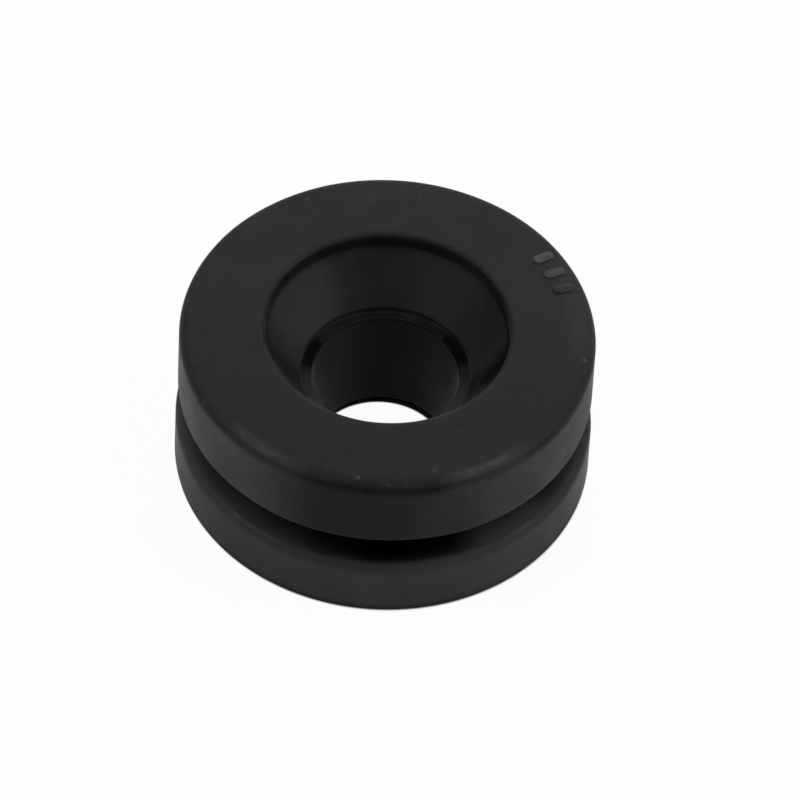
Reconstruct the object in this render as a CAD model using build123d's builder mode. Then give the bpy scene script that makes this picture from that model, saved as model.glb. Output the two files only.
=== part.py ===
"""Bump stop: a grooved round buffer moulded in one piece from rubber.

It clips into a round hole in a plate by the groove round its waist. A peg is pushed
down the stepped hole through its middle, and the crowned top face takes the knock.
Millimetres. The origin is the centre of the flat underside, and +Z runs up the hole.
"""

from build123d import *
from math import hypot
import os

# ---- outside, from the underside up -------------------------------------------
foot_diameter = 25.2  # lower flange, squeezed through the plate's hole
foot_thickness = 4.0
groove_width = 2.5  # holds a plate as thick as this
groove_diameter = 19.0  # at the root, which is the hole in the plate
head_diameter = 25.0  # upper flange
head_thickness = 4.6  # at its outer edge
crown = 0.4  # rise of the top face from its outer edge to the recess

# ---- stepped hole, from the top face down -------------------------------------
recess_diameter = 14.6
recess_depth = 0.9  # straight wall under the rim
funnel_depth = 3.15  # cone from the recess to the throat
throat_depth = 0.3  # low straight step under the cone, down to a narrow ledge
ledge_width = 0.65
taper_depth = 3.5  # slight taper from the ledge to the bore
taper_widening = 0.7  # how much wider the hole is at the ledge than at the bore
bore_diameter = 8.2  # lets an 8 mm peg through

# ---- edges, rounded where they are met in use and bevelled elsewhere ------------
# The groove's inner corners stay sharp, as the split ring of the mould leaves them.
head_top_radius = 0.6
foot_top_radius = 0.6  # soft, to lead the foot through the plate
recess_rim_radius = 0.35
head_bottom_bevel = 0.12  # nearly sharp, where it sits on the plate
foot_bottom_bevel = 0.3
bore_bottom_bevel = 0.35  # wider, so that the bore stands clear of what the foot rests on

# ---- widths, heights and radii that follow ------------------------------------
neck_diameter = bore_diameter + taper_widening
throat_diameter = neck_diameter + 2 * ledge_width
groove_top = foot_thickness + groove_width
head_edge_height = groove_top + head_thickness
height = head_edge_height + crown
funnel_top = height - recess_depth
throat_top = funnel_top - funnel_depth
throat_bottom = throat_top - throat_depth
bore_top = throat_bottom - taper_depth

# The crown is part of a ball centred on the axis, through the recess's rim and the
# head's outer edge. This is how far that centre lies below the rim.
head_radius = head_diameter / 2
recess_radius = recess_diameter / 2
crown_centre_depth = ((head_radius**2 - recess_radius**2) / crown + crown) / 2
crown_radius = hypot(recess_radius, crown_centre_depth)


def turned(diameter, z):
    """The point of the half section that makes a circle of this diameter at z."""
    return (diameter / 2, z)


recess_rim = turned(recess_diameter, height)
head_corner = turned(head_diameter, head_edge_height)
head_bottom = turned(head_diameter, groove_top)
foot_top = turned(foot_diameter, foot_thickness)
foot_bottom = turned(foot_diameter, 0)
bore_bottom = turned(bore_diameter, 0)

# From the head's outer edge down round the foot, then up the hole to the recess's rim.
section = [
    head_corner,
    head_bottom,
    turned(groove_diameter, groove_top),
    turned(groove_diameter, foot_thickness),
    foot_top,
    foot_bottom,
    bore_bottom,
    turned(bore_diameter, bore_top),
    turned(neck_diameter, throat_bottom),
    turned(throat_diameter, throat_bottom),
    turned(throat_diameter, throat_top),
    turned(recess_diameter, funnel_top),
    recess_rim,
]
rounded = [
    (head_corner, head_top_radius),
    (foot_top, foot_top_radius),
    (recess_rim, recess_rim_radius),
]
bevelled = [
    (head_bottom, head_bottom_bevel),
    (foot_bottom, foot_bottom_bevel),
    (bore_bottom, bore_bottom_bevel),
]

with BuildPart() as bump_stop:
    with BuildSketch(Plane.XZ) as half_section:
        with BuildLine():
            Polyline(section)
            RadiusArc(recess_rim, head_corner, crown_radius)
        make_face()
        for corner, radius in rounded:
            fillet(half_section.vertices().sort_by_distance(corner)[0], radius)
        for corner, size in bevelled:
            chamfer(half_section.vertices().sort_by_distance(corner)[0], size)
    revolve(axis=Axis.Z)

bump_stop.part.label = "bump_stop"

os.makedirs("parts", exist_ok=True)
export_step(bump_stop.part, "parts/bump_stop.step")
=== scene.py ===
import math

import bpy
from mathutils import Matrix, Vector


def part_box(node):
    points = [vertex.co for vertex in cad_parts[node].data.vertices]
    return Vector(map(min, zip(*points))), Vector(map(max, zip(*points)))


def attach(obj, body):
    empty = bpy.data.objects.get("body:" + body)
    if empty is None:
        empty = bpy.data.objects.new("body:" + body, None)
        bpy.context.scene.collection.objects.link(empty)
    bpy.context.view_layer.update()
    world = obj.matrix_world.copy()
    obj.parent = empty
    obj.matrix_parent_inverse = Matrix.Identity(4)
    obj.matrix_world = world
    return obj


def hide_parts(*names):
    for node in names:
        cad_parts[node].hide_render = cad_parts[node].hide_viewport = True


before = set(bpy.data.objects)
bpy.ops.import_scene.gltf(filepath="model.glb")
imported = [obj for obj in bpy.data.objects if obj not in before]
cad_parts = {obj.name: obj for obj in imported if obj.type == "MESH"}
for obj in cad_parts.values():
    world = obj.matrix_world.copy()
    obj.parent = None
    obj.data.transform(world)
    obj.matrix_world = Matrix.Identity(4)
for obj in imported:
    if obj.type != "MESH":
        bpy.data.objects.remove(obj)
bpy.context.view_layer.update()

mm = 0.001
stopLow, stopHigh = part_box("bump_stop")
print("frame loaded:", sorted(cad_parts))


def addNode(tree, kind, inputs=None, **settings):
    # keys are socket names, or numbers where names repeat, as on Math, Mix and Map Range nodes
    # values are plain, or sockets, or nodes, which stand for their first output
    node = tree.nodes.new(kind)
    for name, value in settings.items():
        setattr(node, name, value)
    for key, value in (inputs or {}).items():
        if isinstance(value, bpy.types.Node):
            value = value.outputs[0]
        if isinstance(value, bpy.types.NodeSocket):
            tree.links.new(value, node.inputs[key])
        else:
            node.inputs[key].default_value = value
    return node


def linearColour(hexColour):
    channels = [int(hexColour[i:i + 2], 16) / 255 for i in (1, 3, 5)]
    return (*[c / 12.92 if c <= 0.04045 else ((c + 0.055) / 1.055) ** 2.4 for c in channels], 1.0)


def newTree(name, sockets):
    tree = bpy.data.node_groups.new(name, "GeometryNodeTree")
    for label, kind in sockets:
        tree.interface.new_socket(label, in_out="INPUT", socket_type=kind)
    tree.interface.new_socket("Geometry", in_out="OUTPUT", socket_type="NodeSocketGeometry")
    return tree


def plainMesh(source, tree, values, name):
    # runs the tree on the source object and keeps the result as a plain mesh
    modifier = source.modifiers.new("shape", "NODES")
    modifier.node_group = tree
    for item in tree.interface.items_tree:
        if item.in_out == "INPUT" and item.name in values:
            modifier[item.identifier] = values[item.name]
    bpy.context.view_layer.update()
    mesh = bpy.data.meshes.new_from_object(source.evaluated_get(bpy.context.evaluated_depsgraph_get()))
    source.modifiers.remove(modifier)
    bpy.data.objects.remove(source)
    piece = bpy.data.objects.new(name, mesh)
    bpy.context.scene.collection.objects.link(piece)
    return piece


# The rubber, in mm, heights from the underside up. The foot's width comes from the frame.
rubberStop = {
    "footThickness": 4.0,
    "grooveWidth": 2.5,
    "grooveDiameter": 19.0,
    "headDiameter": 25.0,
    "headThickness": 4.6,
    "crown": 0.4,
    "recessDiameter": 14.6,
    "recessDepth": 0.9,
    "funnelDepth": 3.15,
    "throatDiameter": 10.2,
    "throatDepth": 0.3,
    "neckDiameter": 8.9,
    "taperDepth": 3.5,
    "boreDiameter": 8.2,
    "headTopRadius": 0.6,
    "footTopRadius": 0.6,
    "recessRimRadius": 0.35,
    "boreBottomRadius": 0.35,
    "footBottomRadius": 0.35,
    "smallRadius": 0.12,  # the other corners
    "easingRadius": 40.0,  # where one slope runs into the next, at the bore's top and along the crown
    "crownPoints": 5,  # between the recess and the outer edge
    "faceSpacing": 0.18,  # along the half section
    "facesRound": 288,
    "edgePoints": 5,  # on each rounded corner
    "rippleHeight": 0.035,  # slow unevenness of the moulding
    "rippleSize": 5.0,
    "peelHeight": 0.008,  # finer unevenness, like orange peel
    "peelSize": 0.9,
}


def crownAt(size, radius):
    # height in mm and downward slope in radians of the top face, which falls away from the recess
    # to the outer edge nearly as a large ball does
    headRadius, recessRadius = size["headDiameter"] / 2, size["recessDiameter"] / 2
    top = size["footThickness"] + size["grooveWidth"] + size["headThickness"] + size["crown"]
    spread = headRadius**2 - recessRadius**2
    fall = (radius**2 - recessRadius**2) / spread
    return top - size["crown"] * fall, math.atan(2 * size["crown"] * radius / spread)


def halfSection(size):
    # corners of the half section as (radius, height, edge radius), in mm
    foot = size["footThickness"]
    grooveTop = foot + size["grooveWidth"]
    headEdge = grooveTop + size["headThickness"]
    top = headEdge + size["crown"]
    funnelTop = top - size["recessDepth"]
    throatTop = funnelTop - size["funnelDepth"]
    throatBottom = throatTop - size["throatDepth"]
    boreTop = throatBottom - size["taperDepth"]
    footRadius = (stopHigh.x - stopLow.x) / 2 / mm
    headRadius, grooveRadius = size["headDiameter"] / 2, size["grooveDiameter"] / 2
    recessRadius, throatRadius = size["recessDiameter"] / 2, size["throatDiameter"] / 2
    neckRadius, boreRadius = size["neckDiameter"] / 2, size["boreDiameter"] / 2
    small = size["smallRadius"]
    corners = [
        (headRadius, headEdge, size["headTopRadius"]),
        (headRadius, grooveTop, small),
        (grooveRadius, grooveTop, small),
        (grooveRadius, foot, small),
        (footRadius, foot, size["footTopRadius"]),
        (footRadius, 0, size["footBottomRadius"]),
        (boreRadius, 0, size["boreBottomRadius"]),
        (boreRadius, boreTop, size["easingRadius"]),
        (neckRadius, throatBottom, small),
        (throatRadius, throatBottom, small),
        (throatRadius, throatTop, small),
        (recessRadius, funnelTop, small),
        (recessRadius, top, size["recessRimRadius"]),
    ]
    for step in range(1, size["crownPoints"] + 1):
        radius = recessRadius + (headRadius - recessRadius) * step / (size["crownPoints"] + 1)
        corners.append((radius, crownAt(size, radius)[0], size["easingRadius"]))
    return corners


def sectionCurve(corners):
    # a closed curve with X out from the axis and Y down, as Curve to Mesh turns it over
    curve = bpy.data.curves.new("halfSection", "CURVE")
    curve.dimensions = "3D"
    spline = curve.splines.new("POLY")
    spline.points.add(len(corners) - 1)
    for point, (radius, height, edgeRadius) in zip(spline.points, corners):
        point.co = (radius * mm, -height * mm, 0, 1)
        point.radius = edgeRadius * mm
    spline.use_cyclic_u = True
    section = bpy.data.objects.new("halfSection", curve)
    bpy.context.scene.collection.objects.link(section)
    return section


def turnedTree():
    # turns the half section round Z and makes its skin slightly uneven, always inwards
    tree = newTree("turnedRubber", [
        ("Geometry", "NodeSocketGeometry"),
        ("Face Spacing", "NodeSocketFloat"),
        ("Faces Round", "NodeSocketInt"),
        ("Edge Points", "NodeSocketInt"),
        ("Ripple Height", "NodeSocketFloat"),
        ("Ripple Size", "NodeSocketFloat"),
        ("Peel Height", "NodeSocketFloat"),
        ("Peel Size", "NodeSocketFloat"),
        ("Material", "NodeSocketMaterial"),
    ])
    given = addNode(tree, "NodeGroupInput").outputs
    position = addNode(tree, "GeometryNodeInputPosition")
    cornered = addNode(tree, "GeometryNodeFilletCurve", {
        "Curve": given["Geometry"],
        "Radius": addNode(tree, "GeometryNodeInputRadius"),
        "Limit Radius": True,
        "Count": given["Edge Points"],
    }, mode="POLY")
    following = addNode(tree, "GeometryNodeOffsetPointInCurve", {"Offset": 1})
    nextPoint = addNode(tree, "GeometryNodeFieldAtIndex", {
        "Index": following.outputs["Point Index"],
        "Value": position,
    }, data_type="FLOAT_VECTOR", domain="POINT")
    stretch = addNode(tree, "ShaderNodeVectorMath", {0: nextPoint, 1: position}, operation="DISTANCE")
    cuts = addNode(tree, "ShaderNodeMath", {
        0: stretch.outputs["Value"],
        1: given["Face Spacing"],
    }, operation="DIVIDE")
    divided = addNode(tree, "GeometryNodeSubdivideCurve", {"Curve": cornered, "Cuts": cuts})
    # the rail's radius is taken off the section, which then stands that far out on it again
    railRadius = (stopHigh.x - stopLow.x) / 2
    rail = addNode(tree, "GeometryNodeCurvePrimitiveCircle", {
        "Resolution": given["Faces Round"],
        "Radius": railRadius,
    }, mode="RADIUS")
    inset = addNode(tree, "GeometryNodeTransform", {
        "Geometry": divided,
        "Translation": (-railRadius, 0, 0),
    })
    turned = addNode(tree, "GeometryNodeCurveToMesh", {
        "Curve": rail,
        "Profile Curve": inset,
        "Fill Caps": False,
    })
    dents = []
    for height, size in (("Ripple Height", "Ripple Size"), ("Peel Height", "Peel Size")):
        scale = addNode(tree, "ShaderNodeMath", {0: 1.0, 1: given[size]}, operation="DIVIDE")
        noise = addNode(tree, "ShaderNodeTexNoise", {"Vector": position, "Scale": scale, "Detail": 1.0})
        dents.append(addNode(tree, "ShaderNodeMath", {0: noise, 1: given[height]}, operation="MULTIPLY"))
    depth = addNode(tree, "ShaderNodeMath", {0: dents[0], 1: dents[1]}, operation="ADD")
    inward = addNode(tree, "ShaderNodeMath", {0: depth, 1: -1.0}, operation="MULTIPLY")
    normal = addNode(tree, "GeometryNodeInputNormal")
    offset = addNode(tree, "ShaderNodeVectorMath", {0: normal, "Scale": inward}, operation="SCALE")
    uneven = addNode(tree, "GeometryNodeSetPosition", {"Geometry": turned, "Offset": offset})
    smooth = addNode(tree, "GeometryNodeSetShadeSmooth", {"Geometry": uneven, "Shade Smooth": True})
    realized = addNode(tree, "GeometryNodeRealizeInstances", {"Geometry": smooth})
    finished = addNode(tree, "GeometryNodeSetMaterial", {
        "Geometry": realized,
        "Material": given["Material"],
    })
    addNode(tree, "NodeGroupOutput", {"Geometry": finished})
    return tree


# The rubber's finish. The bloom mixes the black towards the pale colour: 1 is all over, 0 is bare. It is
# partly the pale wax and dust on the skin of old rubber, partly painted light and shade; below 0 it is darker
# and duller, mostly as painted shade.
openLow, openHigh = -9, 99  # a zone has no limit on that side
rubberFinish = {
    "black": "#1e1e1e",
    "bloomAndPaintedShading": "#3c3c3c",
    "deepestPaintedShade": -0.38,
    "zones": {
        # radius from and to, height from and to, and the width of the soft edges, in mm
        "foot": (9, openHigh, openLow, 4.2, 0.4),
        "footEdge": (12.2, openHigh, openLow, 0.5, 0.5),
        "footTop": (9, 12, 3.9, 4.2, 0.3),
        "footRim": (11.8, openHigh, openLow, 4.4, 0.8),
        "hole": (openLow, 7.2, openLow, 10.7, 0.4),
        "recessWall": (7.1, 7.6, 10.5, 11.2, 0.2),
        "cone": (5.1, 7.3, 7.5, 10.6, 0.3),
        "ledge": (4.42, 5.15, 7.0, 7.25, 0.1),
        "throat": (4.42, 5.2, 7.0, 7.6, 0.15),
        "step": (5.0, 5.3, 7.15, 7.55, 0.1),
        "bore": (openLow, 4.6, openLow, 7.05, 0.3),
        "headTop": (7.3, 12.3, 10.8, openHigh, 0.5),
        "headSide": (12.0, openHigh, 6.4, 10.4, 0.4),
        "headEdge": (11.6, openHigh, 10.4, openHigh, 0.5),
        "headRim": (11.0, openHigh, 10.7, openHigh, 1.4),
        "edgeLine": (11.7, 12.1, 10.8, openHigh, 0.2),
    },
    "patches": [
        # zone, middle and half width in degrees from X towards Y, added bloom and painted shading; 180 is all
        # round
        # the lower flange lighter all round
        ("foot", 0, 180, 0.6),
        # painted shade: the lower flange's grazing right side darker, which also takes off its sheen
        ("foot", -15, 30, -0.45),
        # painted shade: the lower flange's top darker at the front, in the head's shadow
        ("footTop", -79, 24, -1.0),
        # painted light: the groove's shadow lighter at the front right and front left
        ("footTop", -48, 18, 0.9),
        ("footTop", -126, 22, 0.6),
        # the lower flange lighter again on its outer side and rim
        ("footRim", 0, 180, 0.4),
        # painted contact shade: the lower flange darker along its bottom edge
        ("footEdge", 0, 180, -1.2),
        # lighter inside the hole
        ("hole", 0, 180, 0.35),
        # painted shade: the recess wall darker at the sides, against lines of grazing sheen
        ("recessWall", -20, 75, -0.3),
        ("recessWall", 200, 65, -0.3),
        # painted shade: the ledge in the bore darker at the back
        ("ledge", 90, 150, -0.55),
        # painted light: the step's shadow line at the back lighter
        ("step", 90, 80, 0.05),
        # painted shade: the bore's left and right walls darker
        ("bore", 180, 50, -0.35),
        ("bore", -5, 50, -0.35),
        # painted shade: dark arcs at the throat's right and left
        ("throat", 28, 18, -0.35),
        ("throat", 165, 20, -0.2),
        # painted light and shade on the funnel: lighter at the back left and back right, darker at the right,
        # front right and front left
        ("cone", 145, 32, 0.6),
        ("cone", 60, 22, 0.25),
        ("cone", 5, 40, -0.2),
        ("cone", -30, 40, -0.45),
        ("cone", -155, 32, -0.55),
        # painted shade: the back of the top face slightly darker
        ("headTop", 90, 75, -0.07),
        # painted shade: the head's grazing left and right sides darker, which also takes off sheen
        ("headSide", 180, 24, -0.08),
        ("headSide", 0, 30, -0.1),
        # painted shade: the head's side darker at the front
        ("headSide", -96, 24, -0.14),
        # the head's side lighter at the front left and front right
        ("headSide", -142, 31, 0.8),
        ("headSide", -44, 24, 0.5),
        # painted shade: the head's top edge darker at the front
        ("headEdge", -90, 34, -0.14),
        # partly wear, partly painted highlight: the head's top edge paler at the front left and front right
        ("headEdge", -125, 16, 0.35),
        ("headEdge", -57, 17, 0.45),
        ("headRim", 12, 26, 0.3),
    ],
    "patchCore": 0.4,  # share of a patch's half width that has its full strength
    # pale streaks on the edge line: partly wear, partly painted highlight
    "streaks": [("edgeLine", -127, 11, 0.6), ("edgeLine", -60, 13, 0.6)],  # the same, broken up
    "streakRamp": (0.42, 0.58),  # wear noise from none of the streak to all of it
    "noiseDetail": 3.0,
    "noiseRoughness": 0.6,
    "mottle": 0.22,
    "mottleSize": 2.2,
    "wearSize": 0.5,
    "flecks": 1.4,
    "fleckSize": 0.45,
    "fleckShare": 0.3,
    "fleckRamp": (0.45, 0.1),  # distance in a fleck's cell, from its edge to its full strength
    "clumpRamp": (0.52, 0.6),  # mottle noise from no flecks to all of them
    "raisedBloom": 2.0,
    "raisedRamp": (0.3, 0.6),  # wear noise from least to most bloom on the raised bars
    "raisedLeast": 0.4,
    "roughness": 0.6,
    "roughnessSpread": 0.12,
    "roughnessRamp": (0.3, 0.7),  # mottle noise from smoothest to roughest
    "specular": 0.25,
    "specularLeast": 0.08,
    "sheen": 0.36,
    "sheenRoughness": 0.3,
    "grainSize": 0.16,  # the real grain is about 0.05 mm, drawn coarser so that it shows
    "grainHeight": 0.004,
}


def mouldedRubber():
    # compression-moulded black nitrile rubber: carbon black all through, matt, with a pale bloom and painted
    # light and shade
    finish = rubberFinish
    material = bpy.data.materials.new("mouldedNitrileRubber")
    material.use_nodes = True
    tree = material.node_tree
    tree.nodes.clear()
    place = addNode(tree, "ShaderNodeTexCoord").outputs["Object"]
    axes = addNode(tree, "ShaderNodeSeparateXYZ", {0: place}).outputs
    across = addNode(tree, "ShaderNodeCombineXYZ", {"X": axes["X"], "Y": axes["Y"]})
    radius = addNode(tree, "ShaderNodeVectorMath", {0: across}, operation="LENGTH").outputs["Value"]
    around = addNode(tree, "ShaderNodeMath", {0: axes["Y"], 1: axes["X"]}, operation="ARCTAN2")
    noises = {}
    for name in ("mottle", "wear", "grain"):
        noises[name] = addNode(tree, "ShaderNodeTexNoise", {
            "Vector": place,
            "Scale": 1 / (finish[name + "Size"] * mm),
            "Detail": finish["noiseDetail"],
            "Roughness": finish["noiseRoughness"],
        })

    # on Map Range nodes, 1 and 2 are the range that is read, 3 and 4 the range that comes out
    zones = {}
    for name, (inner, outer, bottom, top, fade) in finish["zones"].items():
        limits = [(radius, inner, 1), (radius, outer, -1), (axes["Z"], bottom, 1), (axes["Z"], top, -1)]
        zone = 1.0
        for value, edge, way in limits:
            side = addNode(tree, "ShaderNodeMapRange", {
                0: value,
                1: (edge - way * fade / 2) * mm,
                2: (edge + way * fade / 2) * mm,
            }, interpolation_type="SMOOTHSTEP")
            zone = addNode(tree, "ShaderNodeMath", {0: zone, 1: side}, operation="MULTIPLY")
        zones[name] = zone

    # all that adds to the bloom and painted shading or takes from it
    low, high = finish["streakRamp"]
    broken = addNode(tree, "ShaderNodeMapRange", {0: noises["wear"], 1: low, 2: high})
    parts = [addNode(tree, "ShaderNodeMapRange", {
        0: noises["mottle"],
        3: -finish["mottle"],
        4: finish["mottle"],
    })]
    for patch in finish["patches"] + finish["streaks"]:
        name, middle, halfWidth, amount = patch
        part = addNode(tree, "ShaderNodeMath", {0: zones[name], 1: amount}, operation="MULTIPLY")
        if halfWidth < 180:
            off = addNode(tree, "ShaderNodeMath", {0: around, 1: math.radians(middle)}, operation="SUBTRACT")
            turned = addNode(tree, "ShaderNodeMath", {0: off, 1: math.pi, 2: -math.pi}, operation="WRAP")
            apart = addNode(tree, "ShaderNodeMath", {0: turned}, operation="ABSOLUTE")
            arc = addNode(tree, "ShaderNodeMapRange", {
                0: apart,
                1: math.radians(halfWidth),
                2: math.radians(halfWidth * finish["patchCore"]),
            }, interpolation_type="SMOOTHSTEP")
            part = addNode(tree, "ShaderNodeMath", {0: part, 1: arc}, operation="MULTIPLY")
        if patch in finish["streaks"]:
            part = addNode(tree, "ShaderNodeMath", {0: part, 1: broken}, operation="MULTIPLY")
        parts.append(part)

    # flecks of dust lie in small clumps on the outer part of the top face
    cells = addNode(tree, "ShaderNodeTexVoronoi", {
        "Vector": place,
        "Scale": 1 / (finish["fleckSize"] * mm),
    }).outputs
    chance = addNode(tree, "ShaderNodeSeparateColor", {0: cells["Color"]})
    chosen = addNode(tree, "ShaderNodeMath", {0: chance, 1: finish["fleckShare"]}, operation="LESS_THAN")
    low, high = finish["clumpRamp"]
    clump = addNode(tree, "ShaderNodeMapRange", {0: noises["mottle"], 1: low, 2: high})
    edge, core = finish["fleckRamp"]
    fleck = addNode(tree, "ShaderNodeMapRange", {
        0: cells["Distance"],
        1: edge,
        2: core,
        4: finish["flecks"],
    })
    for share in (zones["headRim"], chosen, clump):
        fleck = addNode(tree, "ShaderNodeMath", {0: fleck, 1: share}, operation="MULTIPLY")
    parts.append(fleck)

    # the raised bars are rubbed pale
    raised = addNode(tree, "ShaderNodeAttribute", attribute_name="raised").outputs["Fac"]
    low, high = finish["raisedRamp"]
    worn = addNode(tree, "ShaderNodeMapRange", {0: noises["wear"], 1: low, 2: high, 3: finish["raisedLeast"]})
    rubbed = addNode(tree, "ShaderNodeMath", {0: raised, 1: worn}, operation="MULTIPLY")
    parts.append(addNode(tree, "ShaderNodeMath", {0: rubbed, 1: finish["raisedBloom"]}, operation="MULTIPLY"))

    bloomAndPaintedShading = 0.0
    for part in parts:
        bloomAndPaintedShading = addNode(tree, "ShaderNodeMath", {0: bloomAndPaintedShading, 1: part}, operation="ADD")
    bloomAndPaintedShading = addNode(tree, "ShaderNodeMath", {0: bloomAndPaintedShading, 1: finish["deepestPaintedShade"]}, operation="MAXIMUM")

    colour = addNode(tree, "ShaderNodeMix", {
        0: bloomAndPaintedShading,
        6: linearColour(finish["black"]),
        7: linearColour(finish["bloomAndPaintedShading"]),
    }, data_type="RGBA", clamp_factor=False)
    low, high = finish["roughnessRamp"]
    rough = addNode(tree, "ShaderNodeMapRange", {
        0: noises["mottle"],
        1: low,
        2: high,
        3: finish["roughness"] - finish["roughnessSpread"],
        4: finish["roughness"] + finish["roughnessSpread"],
    })
    # sheen and gloss are full from 0 bloom up, and fade below it, so painted shade also loses them
    sheenWeight = addNode(tree, "ShaderNodeMapRange", {
        0: bloomAndPaintedShading,
        1: finish["deepestPaintedShade"],
        2: 0.0,
        4: finish["sheen"],
    })
    glossy = addNode(tree, "ShaderNodeMapRange", {
        0: bloomAndPaintedShading,
        1: finish["deepestPaintedShade"],
        2: 0.0,
        3: finish["specularLeast"],
        4: finish["specular"],
    })
    bump = addNode(tree, "ShaderNodeBump", {
        "Height": noises["grain"],
        "Distance": finish["grainHeight"] * mm,
    })
    shader = addNode(tree, "ShaderNodeBsdfPrincipled", {
        "Base Color": colour.outputs[2],
        "Roughness": rough,
        "Specular IOR Level": glossy,
        "Sheen Weight": sheenWeight,
        "Sheen Roughness": finish["sheenRoughness"],
        "Normal": bump,
    })
    addNode(tree, "ShaderNodeOutputMaterial", {"Surface": shader})
    return material


rubber = mouldedRubber()
body = plainMesh(sectionCurve(halfSection(rubberStop)), turnedTree(), {
    "Face Spacing": rubberStop["faceSpacing"] * mm,
    "Faces Round": rubberStop["facesRound"],
    "Edge Points": rubberStop["edgePoints"],
    "Ripple Height": rubberStop["rippleHeight"] * mm,
    "Ripple Size": rubberStop["rippleSize"] * mm,
    "Peel Height": rubberStop["peelHeight"] * mm,
    "Peel Size": rubberStop["peelSize"] * mm,
    "Material": rubber,
}, "rubberBody")
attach(body, "root")
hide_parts("bump_stop")
print("rubber body turned:", len(body.data.polygons), "faces")

# The moulded mark beside the rim: short raised bars that point to the axis, in mm and degrees.
mouldMark = {
    "bars": 3,
    "middleAngle": 28.2,  # from X towards Y
    "angleStep": 7.0,
    "radius": 11.15,
    "length": 1.4,
    "width": 0.65,
    "height": 0.1,
    "ballSegments": 32,
    "ballRings": 16,
    "leastRubbed": 0.1,  # the bar nearest X is the least rubbed
    "rubbedStep": 0.7,  # more with each bar, up to 1
}


def barsTree():
    # one rounded bar, made from a ball pulled apart and flattened, then set out along the rim
    tree = newTree("raisedBars", [
        ("Geometry", "NodeSocketGeometry"),
        ("Bars", "NodeSocketInt"),
        ("Middle Angle", "NodeSocketFloat"),
        ("Angle Step", "NodeSocketFloat"),
        ("Radius", "NodeSocketFloat"),
        ("Level", "NodeSocketFloat"),
        ("Slope", "NodeSocketFloat"),
        ("Length", "NodeSocketFloat"),
        ("Width", "NodeSocketFloat"),
        ("Height", "NodeSocketFloat"),
        ("Ball Segments", "NodeSocketInt"),
        ("Ball Rings", "NodeSocketInt"),
        ("Least Rubbed", "NodeSocketFloat"),
        ("Rubbed Step", "NodeSocketFloat"),
        ("Material", "NodeSocketMaterial"),
    ])
    given = addNode(tree, "NodeGroupInput").outputs
    index = addNode(tree, "GeometryNodeInputIndex")
    halfWidth = addNode(tree, "ShaderNodeMath", {0: given["Width"], 1: 0.5}, operation="MULTIPLY")
    ball = addNode(tree, "GeometryNodeMeshUVSphere", {
        "Segments": given["Ball Segments"],
        "Rings": given["Ball Rings"],
        "Radius": halfWidth,
    })
    apart = addNode(tree, "ShaderNodeMath", {0: given["Length"], 1: given["Width"]}, operation="SUBTRACT")
    halfApart = addNode(tree, "ShaderNodeMath", {0: apart, 1: 0.5}, operation="MULTIPLY")
    place = addNode(tree, "ShaderNodeSeparateXYZ", {0: addNode(tree, "GeometryNodeInputPosition")})
    end = addNode(tree, "ShaderNodeMath", {0: place.outputs["X"]}, operation="SIGN")
    pull = addNode(tree, "ShaderNodeMath", {0: end, 1: halfApart}, operation="MULTIPLY")
    pulled = addNode(tree, "GeometryNodeSetPosition", {
        "Geometry": ball,
        "Offset": addNode(tree, "ShaderNodeCombineXYZ", {"X": pull}),
    })
    flatness = addNode(tree, "ShaderNodeMath", {0: given["Height"], 1: halfWidth}, operation="DIVIDE")
    flat = addNode(tree, "GeometryNodeTransform", {
        "Geometry": pulled,
        "Scale": addNode(tree, "ShaderNodeCombineXYZ", {"X": 1.0, "Y": 1.0, "Z": flatness}),
    })
    # each bar's angle round the axis, counted from the middle one
    last = addNode(tree, "ShaderNodeMath", {0: given["Bars"], 1: 1.0}, operation="SUBTRACT")
    middle = addNode(tree, "ShaderNodeMath", {0: last, 1: 0.5}, operation="MULTIPLY")
    fromMiddle = addNode(tree, "ShaderNodeMath", {0: index, 1: middle}, operation="SUBTRACT")
    turn = addNode(tree, "ShaderNodeMath", {
        0: fromMiddle,
        1: given["Angle Step"],
        2: given["Middle Angle"],
    }, operation="MULTIPLY_ADD")
    spot = addNode(tree, "ShaderNodeVectorRotate", {
        "Vector": addNode(tree, "ShaderNodeCombineXYZ", {"X": given["Radius"], "Z": given["Level"]}),
        "Angle": turn,
    }, rotation_type="Z_AXIS")
    spots = addNode(tree, "GeometryNodePoints", {"Count": given["Bars"], "Position": spot})
    rubbed = addNode(tree, "ShaderNodeMath", {
        0: index,
        1: given["Rubbed Step"],
        2: given["Least Rubbed"],
    }, operation="MULTIPLY_ADD", use_clamp=True)
    marked = addNode(tree, "GeometryNodeStoreNamedAttribute", {
        "Geometry": spots,
        "Name": "raised",
        "Value": rubbed,
    }, data_type="FLOAT", domain="POINT")
    bars = addNode(tree, "GeometryNodeInstanceOnPoints", {
        "Points": marked,
        "Instance": flat,
        "Rotation": addNode(tree, "ShaderNodeCombineXYZ", {"Y": given["Slope"], "Z": turn}),
    })
    smooth = addNode(tree, "GeometryNodeSetShadeSmooth", {"Geometry": bars, "Shade Smooth": True})
    realized = addNode(tree, "GeometryNodeRealizeInstances", {"Geometry": smooth})
    finished = addNode(tree, "GeometryNodeSetMaterial", {
        "Geometry": realized,
        "Material": given["Material"],
    })
    addNode(tree, "NodeGroupOutput", {"Geometry": finished})
    return tree


level, slope = crownAt(rubberStop, mouldMark["radius"])
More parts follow.
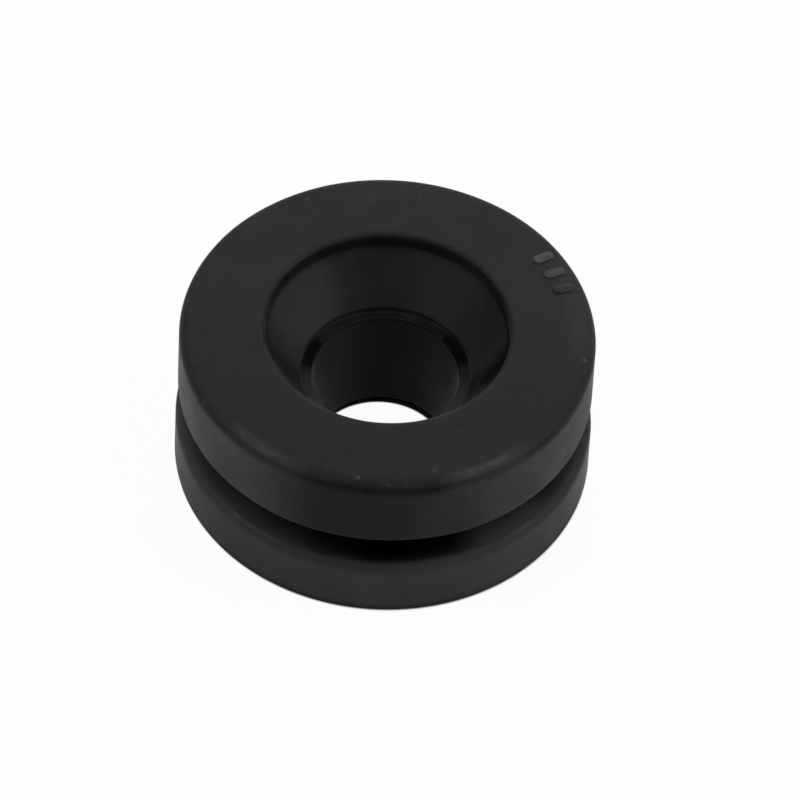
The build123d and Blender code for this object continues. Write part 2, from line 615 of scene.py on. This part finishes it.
# the bars' tree makes all of its geometry, so it runs on an empty mesh
start = bpy.data.objects.new("start", bpy.data.meshes.new("start"))
bpy.context.scene.collection.objects.link(start)
mark = plainMesh(start, barsTree(), {
    "Bars": mouldMark["bars"],
    "Middle Angle": math.radians(mouldMark["middleAngle"]),
    "Angle Step": math.radians(mouldMark["angleStep"]),
    "Radius": mouldMark["radius"] * mm,
    "Level": level * mm,
    "Slope": slope,
    "Length": mouldMark["length"] * mm,
    "Width": mouldMark["width"] * mm,
    "Height": mouldMark["height"] * mm,
    "Ball Segments": mouldMark["ballSegments"],
    "Ball Rings": mouldMark["ballRings"],
    "Least Rubbed": mouldMark["leastRubbed"],
    "Rubbed Step": mouldMark["rubbedStep"],
    "Material": rubber,
}, "mouldMark")
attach(mark, "root")
print("mould mark raised:", mouldMark["bars"], "bars")

# The studio: a wide white floor, soft lights behind and on both sides, and none in front.
# Angles are in degrees, azimuths from the front. The floor, lamps and camera are placed in metres.
studio = {
    "floorSize": 6.0,
    "floorColour": "#f6f6f6",
    "floorGlow": 0.96,  # share of plain white that the camera sees
    # painted contact shadow: the colour the camera sees in the ring between contactInner and contactOuter
    "paintedContactShadow": "#2c2c2c",  # the floor in the narrow gap under the rubber's edges
    "contactInner": (-0.12, -0.10, 4.0, 0.14),  # X, Y, radius and fade in mm of the light patch in the bore
    "contactOuter": (0.04, 0.04, 12.5, 0.2),  # the same for where the light floor starts outside
    "mirroredFrom": (0, 0, 50.0, 1.0),  # the same for where reflections see it white, beyond the shadow
    "roomLight": 0.02,
    "lampDistance": 0.5,
    "lamps": [
        # name, azimuth, elevation, side in metres, watts
        ("backSoftbox", 180, 28, 0.30, 0.76),
        ("leftSoftbox", 270, 45, 0.30, 0.59),
        ("highLeftSoftbox", 270, 70, 0.30, 0.36),
        ("rightSoftbox", 90, 45, 0.30, 0.89),
        ("highRightSoftbox", 90, 70, 0.30, 0.31),
    ],
    "cameraElevation": 49.79,
    "cameraRoll": 3.1,
    "cameraDistance": 0.5,
    "clipStart": 0.01,
    "focalLength": 370.0,  # mm
    "aimRight": 1.132,  # mm from the middle of the underside, across the view
    "aimUp": 3.100,  # the same, up the view
}


def whiteFloor():
    # white paper; the camera sees it nearly plain white, with a painted contact shadow in the gap under the
    # rubber's edges
    half = studio["floorSize"] / 2
    mesh = bpy.data.meshes.new("floor")
    corners = [(-half, -half, 0), (half, -half, 0), (half, half, 0), (-half, half, 0)]
    mesh.from_pydata(corners, [], [(0, 1, 2, 3)])
    floor = bpy.data.objects.new("floor", mesh)
    bpy.context.scene.collection.objects.link(floor)
    material = bpy.data.materials.new("whitePaper")
    material.use_nodes = True
    tree = material.node_tree
    tree.nodes.clear()
    rays = addNode(tree, "ShaderNodeLightPath").outputs
    place = addNode(tree, "ShaderNodeTexCoord").outputs["Object"]
    outside = []
    for x, y, radius, fade in (studio["contactInner"], studio["contactOuter"], studio["mirroredFrom"]):
        middle = (x * mm, y * mm, 0)
        away = addNode(tree, "ShaderNodeVectorMath", {0: place, 1: middle}, operation="DISTANCE")
        outside.append(addNode(tree, "ShaderNodeMapRange", {
            0: away.outputs["Value"],
            1: (radius - fade / 2) * mm,
            2: (radius + fade / 2) * mm,
        }, interpolation_type="SMOOTHSTEP"))
    inBore = addNode(tree, "ShaderNodeMath", {0: 1.0, 1: outside[0]}, operation="SUBTRACT")
    clear = addNode(tree, "ShaderNodeMath", {0: inBore, 1: outside[1]}, operation="MAXIMUM")
    straight = addNode(tree, "ShaderNodeMath", {0: rays["Is Camera Ray"], 1: clear}, operation="MULTIPLY")
    mirrored = addNode(tree, "ShaderNodeMath", {
        0: rays["Is Glossy Ray"],
        1: rays["Is Transmission Ray"],
    }, operation="MAXIMUM")
    farMirrored = addNode(tree, "ShaderNodeMath", {0: mirrored, 1: outside[2]}, operation="MULTIPLY")
    seen = addNode(tree, "ShaderNodeMath", {0: straight, 1: farMirrored}, operation="MAXIMUM")
    share = addNode(tree, "ShaderNodeMath", {0: seen, 1: studio["floorGlow"]}, operation="MULTIPLY")
    # painted contact shadow: under the rubber's edges the camera sees the paper in the dark colour
    hidden = addNode(tree, "ShaderNodeMath", {0: 1.0, 1: clear}, operation="SUBTRACT")
    gap = addNode(tree, "ShaderNodeMath", {0: rays["Is Camera Ray"], 1: hidden}, operation="MULTIPLY")
    tone = addNode(tree, "ShaderNodeMix", {
        0: gap,
        6: linearColour(studio["floorColour"]),
        7: linearColour(studio["paintedContactShadow"]),
    }, data_type="RGBA")
    paper = addNode(tree, "ShaderNodeBsdfDiffuse", {"Color": tone.outputs[2]})
    glow = addNode(tree, "ShaderNodeEmission", {"Color": (1, 1, 1, 1), "Strength": 1.0})
    both = addNode(tree, "ShaderNodeMixShader", {0: share, 1: paper, 2: glow})
    addNode(tree, "ShaderNodeOutputMaterial", {"Surface": both})
    mesh.materials.append(material)


def whiteRoom():
    # nearly dark, so that the lamps alone light the part; the camera alone sees it white
    world = bpy.data.worlds.new("studioRoom")
    world.use_nodes = True
    tree = world.node_tree
    tree.nodes.clear()
    rays = addNode(tree, "ShaderNodeLightPath").outputs
    dark = addNode(tree, "ShaderNodeBackground", {"Color": (1, 1, 1, 1), "Strength": studio["roomLight"]})
    white = addNode(tree, "ShaderNodeBackground", {"Color": (1, 1, 1, 1), "Strength": 1.0})
    both = addNode(tree, "ShaderNodeMixShader", {0: rays["Is Camera Ray"], 1: dark, 2: white})
    addNode(tree, "ShaderNodeOutputWorld", {"Surface": both})
    bpy.context.scene.world = world


def softLamps():
    for name, azimuth, elevation, side, power in studio["lamps"]:
        light = bpy.data.lights.new(name, "AREA")
        light.shape = "SQUARE"
        light.size = side
        light.energy = power
        turn, up = math.radians(azimuth), math.radians(elevation)
        away = Vector((math.sin(turn) * math.cos(up), -math.cos(turn) * math.cos(up), math.sin(up)))
        lamp = bpy.data.objects.new(name, light)
        lamp.location = away * studio["lampDistance"]
        lamp.rotation_euler = (-away).to_track_quat("-Z", "Y").to_euler()
        bpy.context.scene.collection.objects.link(lamp)


def productCamera():
    data = bpy.data.cameras.new("productCamera")
    data.lens = studio["focalLength"]
    data.clip_start = studio["clipStart"]
    camera = bpy.data.objects.new("productCamera", data)
    elevation, roll = math.radians(studio["cameraElevation"]), math.radians(studio["cameraRoll"])
    towards = Vector((0, -math.cos(elevation), math.sin(elevation)))
    across, lifted = Vector((1, 0, 0)), Vector((0, math.sin(elevation), math.cos(elevation)))
    right = across * math.cos(roll) + lifted * math.sin(roll)
    up = lifted * math.cos(roll) - across * math.sin(roll)
    place = towards * studio["cameraDistance"]
    aim = right * studio["aimRight"] * mm + up * studio["aimUp"] * mm
    back = (place - aim).normalized()
    side = up.cross(back).normalized()
    turn = Matrix((side, back.cross(side), back)).transposed()
    camera.matrix_world = Matrix.Translation(place) @ turn.to_4x4()
    bpy.context.scene.collection.objects.link(camera)
    bpy.context.scene.camera = camera


whiteFloor()
whiteRoom()
softLamps()
productCamera()
bpy.context.scene.view_settings.view_transform = "Standard"
print("studio set")
